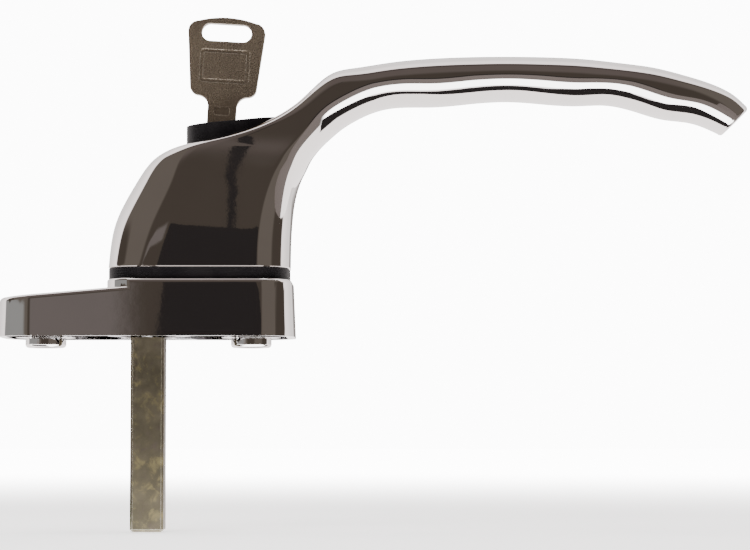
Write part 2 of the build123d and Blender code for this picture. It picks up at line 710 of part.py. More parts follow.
def bow_outline():
    """The key's bow and neck in its own plane, neck foot at height zero."""
    right = [
        Line((NECK_HALF, 0), (NECK_HALF, NECK_LENGTH)),
        ThreePointArc((NECK_HALF, NECK_LENGTH), (3.7, 5.9), (5.3, 6.6)),
        ThreePointArc((5.3, 6.6), (6.5, 7.2), (BOW_FOOT_HALF, BOW_FOOT_Z)),
        Line((BOW_FOOT_HALF, BOW_FOOT_Z), (BOW_TOP_HALF, BOW_SHOULDER_Z)),
        ThreePointArc((BOW_TOP_HALF, BOW_SHOULDER_Z), (7.6, 21.5), (6.0, 22.3)),
    ]
    left = [edge.mirror(Plane.YZ) for edge in right]
    top = ThreePointArc((6.0, 22.3), (0, BOW_TOP_Z), (-6.0, 22.3))
    foot = Line((-NECK_HALF, 0), (NECK_HALF, 0))
    return make_face(right + left + [top, foot])


def blade_outline():
    """The blade with its cuts, below height zero."""
    pitch = 3.0
    first = -LOCK_TOP_Z + WAFER_LEVELS[0]
    right = [(BLADE_HALF, 0.5)]
    for index, depth in enumerate(BLADE_CUTS):
        middle = first - index * pitch
        right.append((BLADE_HALF, middle + depth + 0.3))
        right.append((BLADE_HALF - depth, middle + 0.3))
        right.append((BLADE_HALF - depth, middle - 0.3))
        right.append((BLADE_HALF, middle - depth - 0.3))
    right.append((BLADE_HALF, -BLADE_LENGTH + 1.0))
    right.append((BLADE_HALF - 1.0, -BLADE_LENGTH))
    left = [(-x, z) for x, z in reversed(right)]
    return make_face(Polyline(*right, *left, close=True))


def key():
    """The key, standing in the plug with its blade down."""
    body = extrude(Plane.XZ * bow_outline(), KEY_THICK / 2, both=True)
    body += extrude(Plane.XZ * blade_outline(), BLADE_THICK / 2, both=True)
    slot = Pos(0, BOW_SLOT_Z) * SlotOverall(BOW_SLOT_LENGTH, BOW_SLOT_HEIGHT)
    body -= extrude(Plane.XZ * slot, KEY_THICK, both=True)
    frame = Pos(0, PANEL_Z) * RectangleRounded(PANEL_WIDTH, PANEL_HEIGHT, 0.8)
    inner = RectangleRounded(PANEL_WIDTH - 2 * PANEL_BORDER, PANEL_HEIGHT - 2 * PANEL_BORDER, 0.4)
    groove = frame - Pos(0, PANEL_Z) * inner
    stamp = Pos(0, STAMP_Z) * RectangleRounded(STAMP_WIDTH, STAMP_HEIGHT, 0.3)
    marks = extrude(Plane.XZ * (groove + stamp), KEY_THICK, both=True)
    body -= marks - block(-MANY, MANY, KEY_THICK / 2 - PANEL_DEPTH, -MANY, MANY)
    return Pos(KEY_X, 0, KEY_Z) * Rot(0, KEY_TILT, 0) * body


# ------------------------------------------------------------------ output

def all_parts():
    """Every node of the assembly, by name."""
    outer = handle_outer()
    parts = {
        "base_plate": base_plate(),
        "screw_cap": screw_cap(),
        "handle_casting": handle_casting(outer),
        "slip_ring": slip_ring(),
        "cover_screws": cover_screws(),
        "spindle": spindle(),
        "spindle_pin": spindle_pin(),
        "retaining_washer": retaining_washer(),
        "retaining_circlip": retaining_circlip(),
        "disc_spring": disc_spring(),
        "lock_surround": lock_surround(outer),
        "lock_housing": lock_housing(),
        "housing_circlip": housing_circlip(),
        "lock_plug": lock_plug(),
        "wafer_springs": wafer_springs(),
        "lock_cam": lock_cam(),
        "cam_washer": cam_washer(),
        "cam_screw": cam_screw(),
        "lock_bolt": lock_bolt(),
        "bolt_pin": bolt_pin(),
        "key": key(),
    }
    for number, (x, y) in enumerate(ball_places(), start=1):
        parts[f"detent_ball_{number}"] = detent_ball(x, y)
        parts[f"detent_spring_{number}"] = detent_spring(x, y)
    for index, level in enumerate(WAFER_LEVELS):
        parts[f"wafer_{index + 1}"] = wafer(index, level)
    return parts


os.makedirs("parts", exist_ok=True)
for name, shape in all_parts().items():
    export_step(shape, f"parts/{name}.step")
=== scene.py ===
import json
import logging
import math
from dataclasses import dataclass, field
from enum import Enum

import bmesh
import bpy
import numpy as np
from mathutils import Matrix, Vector


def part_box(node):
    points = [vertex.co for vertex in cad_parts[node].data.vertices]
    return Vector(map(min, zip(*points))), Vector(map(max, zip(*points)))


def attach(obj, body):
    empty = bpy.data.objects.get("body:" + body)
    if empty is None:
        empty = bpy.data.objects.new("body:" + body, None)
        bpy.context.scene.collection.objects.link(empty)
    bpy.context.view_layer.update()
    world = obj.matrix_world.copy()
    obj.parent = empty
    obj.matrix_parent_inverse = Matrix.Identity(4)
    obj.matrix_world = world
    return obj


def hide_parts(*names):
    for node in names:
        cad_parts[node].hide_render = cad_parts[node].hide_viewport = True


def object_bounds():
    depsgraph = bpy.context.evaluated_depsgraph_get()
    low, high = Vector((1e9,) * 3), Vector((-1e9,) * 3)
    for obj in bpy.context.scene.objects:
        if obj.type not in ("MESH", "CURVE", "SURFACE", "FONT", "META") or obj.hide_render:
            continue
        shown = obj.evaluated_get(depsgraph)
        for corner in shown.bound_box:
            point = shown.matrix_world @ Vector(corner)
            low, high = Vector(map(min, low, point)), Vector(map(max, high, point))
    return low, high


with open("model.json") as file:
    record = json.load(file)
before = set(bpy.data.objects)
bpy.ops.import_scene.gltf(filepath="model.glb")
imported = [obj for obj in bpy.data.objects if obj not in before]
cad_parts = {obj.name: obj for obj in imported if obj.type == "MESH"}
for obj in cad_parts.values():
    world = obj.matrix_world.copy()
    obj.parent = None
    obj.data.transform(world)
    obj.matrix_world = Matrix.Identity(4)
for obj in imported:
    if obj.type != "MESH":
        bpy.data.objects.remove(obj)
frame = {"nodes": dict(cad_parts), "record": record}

LOG = logging.getLogger("window_handle")
CAD_BOX = [list(corner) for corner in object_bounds()]
MM = 0.001

Socket = bpy.types.NodeSocket
Color = tuple[float, float, float]
Point = tuple[float, float, float]
Span = tuple[float, float]


class Axis(Enum):
    """The axis that a grain or a brushing runs along, as its stretch along X, Y and Z."""

    NONE = (1.0, 1.0, 1.0)
    ALONG_X = (0.08, 1.0, 1.0)


class Edges(Enum):
    """How a machined or moulded piece's edges are broken, as a bevel width in metres."""

    AS_CUT = 0.0
    FINE = 0.00008
    SOFT = 0.00018


# ---------------------------------------------------------------- node trees


class Shading:
    """A node tree with short calls to add and join nodes."""

    def __init__(self, tree: bpy.types.NodeTree) -> None:
        """Keeps the tree and empties it.

        Args:
            tree: The material, world or group tree to fill.
        """
        self.tree = tree
        tree.nodes.clear()

    def add(self, kind: str, **settings: object) -> bpy.types.Node:
        """Adds a node.

        Args:
            kind: The node's Blender type.
            settings: Properties of the node.

        Returns:
            The new node.
        """
        node = self.tree.nodes.new(kind)
        for name, value in settings.items():
            setattr(node, name, value)
        return node

    def feed(self, node: bpy.types.Node, **inputs: object) -> bpy.types.Node:
        """Sets or links a node's inputs by name; underscores stand for spaces.

        Args:
            node: The node to feed.
            inputs: A socket to link, or a plain value to set, for each input.

        Returns:
            The same node.
        """
        for name, value in inputs.items():
            socket = node.inputs[name.replace("_", " ")]
            if isinstance(value, Socket):
                self.tree.links.new(value, socket)
            else:
                socket.default_value = value
        return node

    def math(self, operation: str, first: object, second: object = 0.0) -> Socket:
        """Adds a math node.

        Args:
            operation: Blender's name of the operation.
            first: A socket or a number.
            second: A socket or a number.

        Returns:
            The node's output.
        """
        node = self.add("ShaderNodeMath", operation=operation)
        for place, value in enumerate((first, second)):
            if isinstance(value, Socket):
                self.tree.links.new(value, node.inputs[place])
            else:
                node.inputs[place].default_value = value
        return node.outputs[0]

    def remap(self, value: object, low: float, high: float, to: Span = (0.0, 1.0)) -> Socket:
        """Maps a value smoothly from one range to another, and clamps it.

        Args:
            value: The socket to map.
            low: The value that gives the first end.
            high: The value that gives the second end.
            to: The two ends of the result.

        Returns:
            The mapped value.
        """
        node = self.add("ShaderNodeMapRange", interpolation_type="SMOOTHSTEP")
        self.feed(node, Value=value, From_Min=low, From_Max=high, To_Min=to[0], To_Max=to[1])
        return node.outputs["Result"]

    def band(self, value: object, rise: Span, fall: Span) -> Socket:
        """A mask that is 1 between two smooth edges and 0 beyond them.

        Args:
            value: The socket to read.
            rise: Where the mask goes from 0 to 1.
            fall: Where it goes back to 0.

        Returns:
            The mask.
        """
        return self.math("MULTIPLY", self.remap(value, *rise), self.remap(value, *fall, (1.0, 0.0)))

    def noise(self, scale: object, **inputs: object) -> Socket:
        """Adds noise, on object coordinates unless a vector is given.

        Args:
            scale: A socket or a number, per metre.
            **inputs: The node's other inputs, by name.

        Returns:
            The noise, from 0 to 1.
        """
        if "Vector" not in inputs:
            inputs["Vector"] = self.add("ShaderNodeTexCoord").outputs["Object"]
        node = self.add("ShaderNodeTexNoise")
        self.feed(node, Scale=scale, **inputs)
        return node.outputs["Fac"]

    def blend(self, share: object, first: object, second: object) -> Socket:
        """Blends two colours.

        Args:
            share: How much of the second colour, as a socket or a number.
            first: A colour or a socket.
            second: A colour or a socket.

        Returns:
            The blended colour.
        """
        node = self.add("ShaderNodeMix", data_type="RGBA")
        for place, value in ((0, share), (6, first), (7, second)):
            if isinstance(value, Socket):
                self.tree.links.new(value, node.inputs[place])
            elif place == 0:
                node.inputs[place].default_value = value
            else:
                node.inputs[place].default_value = (*value, 1.0)
        return node.outputs[2]

    def group(self, name: str, **inputs: object) -> bpy.types.Node:
        """Places a shared node group.

        Args:
            name: The group's name.
            inputs: Values or sockets for its inputs.

        Returns:
            The group node.
        """
        node = self.add("ShaderNodeGroup", node_tree=bpy.data.node_groups[name])
        return self.feed(node, **inputs)


def new_group(
    name: str, inputs: dict[str, float], outputs: tuple[str, ...]
) -> tuple[Shading, bpy.types.Node, bpy.types.Node]:
    """Starts a shader node group of plain values.

    Args:
        name: The group's name.
        inputs: Each input's name and default.
        outputs: The names of the outputs.

    Returns:
        The group's tree, its input node and its output node.
    """
    tree = bpy.data.node_groups.new(name, "ShaderNodeTree")
    for label, value in inputs.items():
        socket = tree.interface.new_socket(name=label, in_out="INPUT", socket_type="NodeSocketFloat")
        socket.default_value = value
    for label in outputs:
        tree.interface.new_socket(name=label, in_out="OUTPUT", socket_type="NodeSocketFloat")
    shading = Shading(tree)
    return shading, shading.add("NodeGroupInput"), shading.add("NodeGroupOutput")


def build_grain_group() -> None:
    """Fine and broad noise on object coordinates, stretched along one axis by X, Y, Z shares."""
    shading, source, result = new_group(
        "grain", {"Fine": 4000.0, "Broad": 120.0, "X": 1.0, "Y": 1.0, "Z": 1.0}, ("Fine", "Broad")
    )
    place = shading.add("ShaderNodeTexCoord").outputs["Object"]
    stretch = shading.add("ShaderNodeCombineXYZ")
    shading.feed(stretch, X=source.outputs["X"], Y=source.outputs["Y"], Z=source.outputs["Z"])
    scaled = shading.add("ShaderNodeVectorMath", operation="MULTIPLY")
    shading.tree.links.new(place, scaled.inputs[0])
    shading.tree.links.new(stretch.outputs[0], scaled.inputs[1])
    fine = shading.noise(source.outputs["Fine"], Vector=scaled.outputs[0], Detail=3.0)
    broad = shading.noise(source.outputs["Broad"], Detail=4.0, Roughness=0.6)
    shading.feed(result, Fine=fine, Broad=broad)


def build_smudge_group() -> None:
    """Handling marks: large soft patches broken up by small ones, from 0 to Amount."""
    shading, source, result = new_group("smudge", {"Size": 60.0, "Amount": 1.0}, ("Mask",))
    patch = shading.noise(source.outputs["Size"], Detail=2.0, Distortion=0.6)
    wide = shading.math("MULTIPLY", source.outputs["Size"], 9.0)
    streak = shading.noise(wide, Detail=5.0, Roughness=0.7)
    soft = shading.remap(patch, 0.45, 0.72)
    broken = shading.remap(streak, 0.3, 0.75, (0.25, 1.0))
    mask = shading.math("MULTIPLY", shading.math("MULTIPLY", soft, broken), source.outputs["Amount"])
    shading.feed(result, Mask=mask)


def build_edge_group() -> None:
    """Wear on edges: how far a rounded normal leaves the true one, broken up by noise."""
    shading, source, result = new_group("edge_wear", {"Width": 0.00025}, ("Mask",))
    rounded = shading.add("ShaderNodeBevel", samples=4)
    shading.feed(rounded, Radius=source.outputs["Width"])
    true = shading.add("ShaderNodeNewGeometry").outputs["Normal"]
    meet = shading.add("ShaderNodeVectorMath", operation="DOT_PRODUCT")
    shading.tree.links.new(rounded.outputs[0], meet.inputs[0])
    shading.tree.links.new(true, meet.inputs[1])
    edge = shading.remap(meet.outputs["Value"], 0.999, 0.93)
    broken = shading.remap(shading.noise(900.0, Detail=3.0), 0.3, 0.6, (0.35, 1.0))
    shading.feed(result, Mask=shading.math("MULTIPLY", edge, broken))


def build_dust_group() -> None:
    """Light dust on faces that look up, speckled by fine noise."""
    shading, source, result = new_group("dust", {"Amount": 0.1}, ("Mask",))
    normal = shading.add("ShaderNodeSeparateXYZ")
    shading.feed(normal, Vector=shading.add("ShaderNodeNewGeometry").outputs["Normal"])
    up = shading.remap(normal.outputs["Z"], 0.3, 0.95)
    grains = shading.remap(shading.noise(2600.0, Detail=6.0, Roughness=0.75), 0.5, 0.7)
    mask = shading.math("MULTIPLY", shading.math("MULTIPLY", up, grains), source.outputs["Amount"])
    shading.feed(result, Mask=mask)


# ------------------------------------------------------------------ finishes


@dataclass(frozen=True)
class Finish:
    """A surface finish: its tones, how rough it is, and its grain.

    Attributes:
        name: The material's name, and the record's slot that it belongs to.
        tone: The main colour.
        second: The colour that it drifts to.
        edge: The colour of worn edges.
        metallic: 1 for bare metal, 0 for plastic.
        rough: Roughness between its smoothest and roughest places.
        grain: The direction of its brushing.
        fine: Scale of the fine grain, per metre.
        broad: Scale of the broad drift, per metre.
        bump: Height of the grain, in metres.
        smudge: Strength of handling marks.
        smudge_rough: How much rougher a full handling mark is.
        dust: Strength of dust on upward faces.
        dust_tone: The dust's colour.
        dust_rough: How much rougher full dust is.
        worn: Whether raised edges wear to the edge colour.
    """

    name: str
    tone: Color
    second: Color
    edge: Color
    metallic: float = 1.0
    rough: Span = (0.2, 0.35)
    grain: Axis = Axis.NONE
    fine: float = 4000.0
    broad: float = 150.0
    bump: float = 0.000002
    smudge: float = 0.3
    smudge_rough: float = 0.15
    dust: float = 0.05
    dust_tone: Color = (0.5, 0.48, 0.45)
    dust_rough: float = 0.4
    worn: bool = True

    def build(self) -> bpy.types.Material:
        """Makes the material.

        Returns:
            The finished material.
        """
        material = bpy.data.materials.new(self.name)
        material.use_nodes = True
        shading = Shading(material.node_tree)
        stretch = dict(zip("XYZ", self.grain.value))
        grain = shading.group("grain", Fine=self.fine, Broad=self.broad, **stretch)
        drift = shading.remap(grain.outputs["Broad"], 0.35, 0.65)
        color = self.color(shading, grain, drift)
        rough = shading.remap(grain.outputs["Fine"], 0.3, 0.7, self.rough)
        marks = shading.group("smudge", Amount=self.smudge).outputs["Mask"]
        rough = shading.math("ADD", rough, shading.math("MULTIPLY", marks, self.smudge_rough))
        dust = shading.group("dust", Amount=self.dust).outputs["Mask"]
        color = shading.blend(dust, color, self.dust_tone)
        rough = shading.math("ADD", rough, shading.math("MULTIPLY", dust, self.dust_rough))
        bump = shading.add("ShaderNodeBump")
        shading.feed(bump, Height=self.height(shading, grain), Distance=self.bump, Strength=1.0)
        surface = shading.add("ShaderNodeBsdfPrincipled")
        shading.feed(surface, Base_Color=color, Roughness=rough, Normal=bump.outputs["Normal"])
        surface.inputs["Metallic"].default_value = self.metallic
        self.gloss(surface)
        output = shading.add("ShaderNodeOutputMaterial")
        shading.feed(output, Surface=surface.outputs["BSDF"])
        return material

    def color(self, shading: Shading, grain: bpy.types.Node, drift: Socket) -> Socket:
        """The drifting colour, worn at the edges.

        Args:
            shading: The material's tree.
            grain: The grain group's node; not used.
            drift: Share of the second colour.

        Returns:
            The colour.
        """
        color = shading.blend(drift, self.tone, self.second)
        if not self.worn:
            return color
        return shading.blend(shading.group("edge_wear").outputs["Mask"], color, self.edge)

    def height(self, shading: Shading, grain: bpy.types.Node) -> Socket:
        """The height that the bump reads: here the fine grain."""
        return grain.outputs["Fine"]

    def gloss(self, surface: bpy.types.Node) -> None:
        """Sets what is constant on the shader: nothing more for a plain metal."""


@dataclass(frozen=True)
class BrightChrome(Finish):
    """Bright chrome over a polished casting: a slow swell under a mirror.

    Attributes:
        polish: Share of the fine polishing marks in the height.
    """

    polish: float = 0.04

    def height(self, shading: Shading, grain: bpy.types.Node) -> Socket:
        """The casting's slow swell with a trace of polishing."""
        polish = shading.math("MULTIPLY", grain.outputs["Fine"], self.polish)
        return shading.math("ADD", grain.outputs["Broad"], polish)


@dataclass(frozen=True)
class MouldedBlack(Finish):
    """Black nylon, with fine spark texture and horizontal moulding lines.

    Attributes:
        line_pitch: Distance between moulding lines, in metres.
        line_height: Height of the moulding lines, as a share of the bump.
        index: The plastic's refractive index.
        sheen_level: Its specular level, low for a dull moulded face.
    """

    line_pitch: float = 0.00055
    line_height: float = 0.6
    index: float = 1.5
    sheen_level: float = 0.07

    def height(self, shading: Shading, grain: bpy.types.Node) -> Socket:
        """Spark texture and lines that are level all round."""
        place = shading.add("ShaderNodeSeparateXYZ")
        shading.feed(place, Vector=shading.add("ShaderNodeTexCoord").outputs["Object"])
        turns = shading.math("MULTIPLY", place.outputs["Z"], 2 * math.pi / self.line_pitch)
        lines = shading.math("MULTIPLY", shading.math("SINE", turns), self.line_height)
        return shading.math("ADD", grain.outputs["Fine"], lines)

    def gloss(self, surface: bpy.types.Node) -> None:
        """A satin plastic's reflection."""
        surface.inputs["IOR"].default_value = self.index
        surface.inputs["Specular IOR Level"].default_value = self.sheen_level


@dataclass(frozen=True)
class YellowPassivate(Finish):
    """Yellow passivated zinc: olive and straw clouds with pale rolled edges.

    Attributes:
        straw: The yellow cloud.
        violet: The faint interference tint.
        cloud: Scale of the clouds, per metre.
    """

    straw: Color = (0.15, 0.125, 0.062)
    violet: Color = (0.062, 0.048, 0.044)
    cloud: float = 330.0

    def color(self, shading: Shading, grain: bpy.types.Node, drift: Socket) -> Socket:
        """Two layers of cloud over the base tone, then pale edges.

        Args:
            shading: The material's tree.
            grain: The grain group's node; not used.
            drift: Share of the second colour.

        Returns:
            The colour.
        """
        cloud = shading.noise(self.cloud, Detail=6.0, Roughness=0.65, Distortion=0.5)
        yellow = shading.remap(cloud, 0.5, 0.7, (0.0, 0.75))
        dark = shading.remap(cloud, 0.28, 0.45, (0.6, 0.0))
        color = shading.blend(drift, self.tone, self.second)
        color = shading.blend(yellow, color, self.straw)
        color = shading.blend(dark, color, self.violet)
        return shading.blend(shading.group("edge_wear").outputs["Mask"], color, self.edge)


FINISHES = (
    BrightChrome(
        "chrome_plate", (0.80, 0.775, 0.76), (0.77, 0.745, 0.73), (0.85, 0.83, 0.82),
        rough=(0.012, 0.03), fine=2600.0, broad=55.0, bump=0.00001, smudge=0.12, dust=0.03, worn=False,
    ),
    MouldedBlack(
        "black_plastic", (0.0050, 0.0043, 0.0050), (0.0085, 0.0074, 0.0080), (0.022, 0.020, 0.021),
        metallic=0.0, rough=(0.3, 0.42), fine=6000.0, bump=0.000009, smudge=0.35, dust=0.12,
    ),
    YellowPassivate(
        "yellow_zinc", (0.060, 0.052, 0.036), (0.083, 0.071, 0.049), (0.34, 0.32, 0.26),
        rough=(0.3, 0.5), fine=5000.0, broad=130.0, bump=0.000003,
    ),
    Finish(
        "key_nickel", (0.29, 0.232, 0.172), (0.25, 0.2, 0.15), (0.66, 0.58, 0.48),
        metallic=0.85, rough=(0.24, 0.34), fine=5200.0, bump=0.000001, smudge=0.5,
    ),
    Finish(
        "zinc_steel", (0.62, 0.64, 0.67), (0.52, 0.55, 0.60), (0.82, 0.83, 0.85),
        rough=(0.2, 0.36), fine=5200.0, broad=380.0, bump=0.000003,
    ),
    Finish(
        "spring_steel", (0.30, 0.31, 0.33), (0.22, 0.22, 0.24), (0.5, 0.5, 0.52),
        rough=(0.22, 0.4), fine=6500.0, broad=500.0, bump=0.000002,
    ),
    Finish(
        "ball_steel", (0.74, 0.75, 0.77), (0.70, 0.71, 0.73), (0.8, 0.8, 0.82),
        rough=(0.05, 0.1), fine=7000.0, bump=0.000001, smudge=0.1, worn=False,
    ),
    Finish(
        "lock_brass", (0.74, 0.56, 0.26), (0.62, 0.45, 0.20), (0.88, 0.72, 0.42),
        rough=(0.18, 0.34), fine=5600.0, broad=420.0, bump=0.000003,
    ),
    Finish(
        "plug_nickel", (0.68, 0.65, 0.60), (0.58, 0.55, 0.50), (0.82, 0.79, 0.74),
        rough=(0.16, 0.3), grain=Axis.ALONG_X, fine=4200.0, broad=420.0, bump=0.000004, smudge=0.4,
    ),
)


# -------------------------------------------------------------------- meshes


def mesh_object(name: str, points: np.ndarray, *faces: np.ndarray) -> bpy.types.Object:
    """Makes a mesh object from arrays, with its faces turned outward.

    Args:
        name: The object's name.
        points: One row of three coordinates per vertex, in metres.
        faces: Arrays of vertex numbers, one row to a face: quads, triangles or both.

    Returns:
        The object, linked to the scene.
    """
    mesh = bpy.data.meshes.new(name)
    mesh.from_pydata(points.tolist(), [], [row for kind in faces for row in kind.tolist()])
    made = bmesh.new()
    made.from_mesh(mesh)
    bmesh.ops.remove_doubles(made, verts=made.verts, dist=1e-7)
    bmesh.ops.recalc_face_normals(made, faces=made.faces)
    made.to_mesh(mesh)
    made.free()
    mesh.shade_smooth()
    thing = bpy.data.objects.new(name, mesh)
    bpy.context.scene.collection.objects.link(thing)
    return thing


def ring_quads(rows: int, around: int) -> np.ndarray:
    """Quads between rows of rings: vertex i of a ring meets i + 1 and the next ring's two.

    Args:
        rows: Number of rings.
        around: Vertices in each ring.

    Returns:
        Rows of four vertex numbers.
    """
    row = np.arange(rows - 1)[:, None] * around
    here = np.arange(around)[None, :]
    after = (here + 1) % around
    above = row + around
    return np.stack([row + here, row + after, above + after, above + here], axis=-1).reshape(-1, 4)


def end_fans(rows: int, around: int) -> np.ndarray:
    """Triangles that close a tube of rings round the two vertices that follow the last ring.

    Args:
        rows: Number of rings.
        around: Vertices in each ring.

    Returns:
        Rows of three vertex numbers: the first end's fan, then the last end's.
    """
    ring = np.arange(around)
    after = (ring + 1) % around
    last = (rows - 1) * around
    centre = np.full(around, rows * around)
    start = np.stack([centre, after, ring], axis=-1)
    end = np.stack([ring + last, after + last, centre + 1], axis=-1)
    return np.concatenate([start, end])


def natural_spline(knots: np.ndarray, values: np.ndarray, at: np.ndarray) -> np.ndarray:
    """A natural cubic spline: second derivatives M solve the usual tridiagonal system.

    Args:
        knots: Increasing parameter of each value.
        values: One row per knot.
        at: Parameters to evaluate.

    Returns:
        One row per parameter.
    """
    step = np.diff(knots)
    count = len(knots)
    system = np.eye(count)
    right = np.zeros_like(values)
    inner = np.arange(1, count - 1)
    system[inner, inner - 1] = step[:-1]
    system[inner, inner] = 2 * (step[:-1] + step[1:])
    system[inner, inner + 1] = step[1:]
    slope = np.diff(values, axis=0) / step[:, None]
    right[1:-1] = 6 * np.diff(slope, axis=0)
    bend = np.linalg.solve(system, right)
    span = np.clip(np.searchsorted(knots, at, side="right") - 1, 0, count - 2)
    width = step[span][:, None]
    left = (knots[span + 1] - at)[:, None]
    gone = (at - knots[span])[:, None]
    return (
        bend[span] * left**3 / (6 * width)
        + bend[span + 1] * gone**3 / (6 * width)
        + (values[span] / width - bend[span] * width / 6) * left
        + (values[span + 1] / width - bend[span + 1] * width / 6) * gone
    )


def evened(values: np.ndarray, width: float) -> np.ndarray:
    """Columns evened out by a Gaussian window exp(-k^2 / 2 w^2), with both ends held.

    Args:
        values: One row per ring.
        width: The window's width w, in rings.

    Returns:
        The evened rows.
    """
    reach = int(3 * width)
    offsets = np.arange(-reach, reach + 1)
    window = np.exp(-(offsets**2) / (2 * width**2))
    window /= window.sum()
    padded = np.pad(values, ((reach, reach), (0, 0)), mode="reflect", reflect_type="odd")
    return np.stack([np.convolve(column, window, mode="valid") for column in padded.T], axis=-1)


def cylinder(name: str, centre: Span, radius: float, span: Span) -> bpy.types.Object:
    """An upright closed cylinder: x = cx + r cos(t), y = cy + r sin(t), z at two heights.

    Args:
        name: The object's name.
        centre: Its axis in plan, in metres.
        radius: Its radius, in metres.
        span: Its lowest and highest z, in metres.

    Returns:
        The object.
    """
    around = 160
    turn = np.linspace(0, 2 * math.pi, around, endpoint=False)
    plan = np.stack([centre[0] + radius * np.cos(turn), centre[1] + radius * np.sin(turn)], axis=-1)
    rings = [np.column_stack([plan, np.full(around, z)]) for z in span]
    poles = [[*centre, span[0]], [*centre, span[1]]]
    points = np.concatenate([*rings, poles])
    return mesh_object(name, points, ring_quads(2, around), end_fans(2, around))


def cut_away(body: bpy.types.Object, cutter: bpy.types.Object) -> None:
    """Subtracts the cutter from the body for good, and removes the cutter.

    Args:
        body: The mesh to cut.
        cutter: The closed mesh to subtract.
    """
    cut = body.modifiers.new("cut", "BOOLEAN")
    cut.operation = "DIFFERENCE"
    cut.solver = "EXACT"
    cut.object = cutter
    graph = bpy.context.evaluated_depsgraph_get()
    body.data = bpy.data.meshes.new_from_object(body.evaluated_get(graph))
    body.modifiers.clear()
    bpy.data.objects.remove(cutter)


def refined_copy(node: str, edges: Edges, angle: float = 30.0) -> bpy.types.Object:
    """Copies a CAD node, welds it, joins its flat faces, and breaks its edges.

    Args:
        node: The CAD node to copy.
        edges: How far its edges are broken.
        angle: The sharpest bend, in degrees, that is still shaded smooth.

    Returns:
        The copy, which rides on the node's body and replaces it.
    """
    source = frame["nodes"][node]
    mesh = bpy.data.meshes.new(f"{node}_piece")
    made = bmesh.new()
    made.from_mesh(source.data)
    bmesh.ops.remove_doubles(made, verts=made.verts, dist=1e-6)
    flat = math.radians(0.3)
    bmesh.ops.dissolve_limit(made, angle_limit=flat, verts=made.verts, edges=made.edges)
    made.to_mesh(mesh)
    made.free()
    mesh.shade_smooth()
    mesh.set_sharp_from_angle(angle=math.radians(angle))
    piece = bpy.data.objects.new(f"{node}_piece", mesh)
    bpy.context.scene.collection.objects.link(piece)
    if edges is not Edges.AS_CUT:
        bevel = piece.modifiers.new("edges", "BEVEL")
        bevel.width = edges.value
        bevel.segments = 3
        bevel.limit_method = "ANGLE"
        bevel.angle_limit = math.radians(angle)
        bevel.harden_normals = True
    weights = piece.modifiers.new("even_faces", "WEIGHTED_NORMAL")
    weights.keep_sharp = True
    dress(piece, node)
    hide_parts(node)
    return piece


def slot_of(node: str) -> str:
    """The record's material slot of a CAD node."""
    rows = frame["record"]["subparts"]
    return next(row["material_slot"] for row in rows if row["node"] == node)


def body_of(node: str) -> str:
    """The CAD body that a node belongs to."""
    bodies = frame["record"]["behaviour"]["bodies"]
    return next(name for name, nodes in bodies.items() if node in nodes)


def dress(piece: bpy.types.Object, node: str) -> None:
    """Gives a piece the finish and the body of a CAD node.

    Args:
        piece: The new piece.
        node: The CAD node whose finish and body it takes.
    """
    name = slot_of(node)
    piece.data.materials.clear()
    piece.data.materials.append(bpy.data.materials[f"{name}_finish"])
    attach(piece, body_of(node))
    LOG.info("%s rides on %s in %s", piece.name, body_of(node), name)


# -------------------------------------------------------------------- handle


@dataclass(frozen=True)
class Station:
    """One cross-section of the handle, in millimetres.

    Attributes:
        outer: Its point on the room-side line, x and z.
        inner: Its point on the finger-side line, x and z.
        half: Half of its width.
        outer_r: Corner radius on the room side.
        inner_r: Corner radius on the finger side.
        outer_turn: Degrees that the room-side corner turns; 90 leaves that side flat.
        inner_turn: Degrees that the finger-side corner turns; 90 leaves that side flat.
    """

    outer: Span
    inner: Span
    half: float
    outer_r: float
    inner_r: float
    outer_turn: float = 88.0
    inner_turn: float = 88.0

    def row(self) -> list[float]:
        """The station as one row of numbers."""
        return [
            *self.outer, *self.inner, self.half,
            self.outer_r, self.inner_r, self.outer_turn, self.inner_turn,
        ]


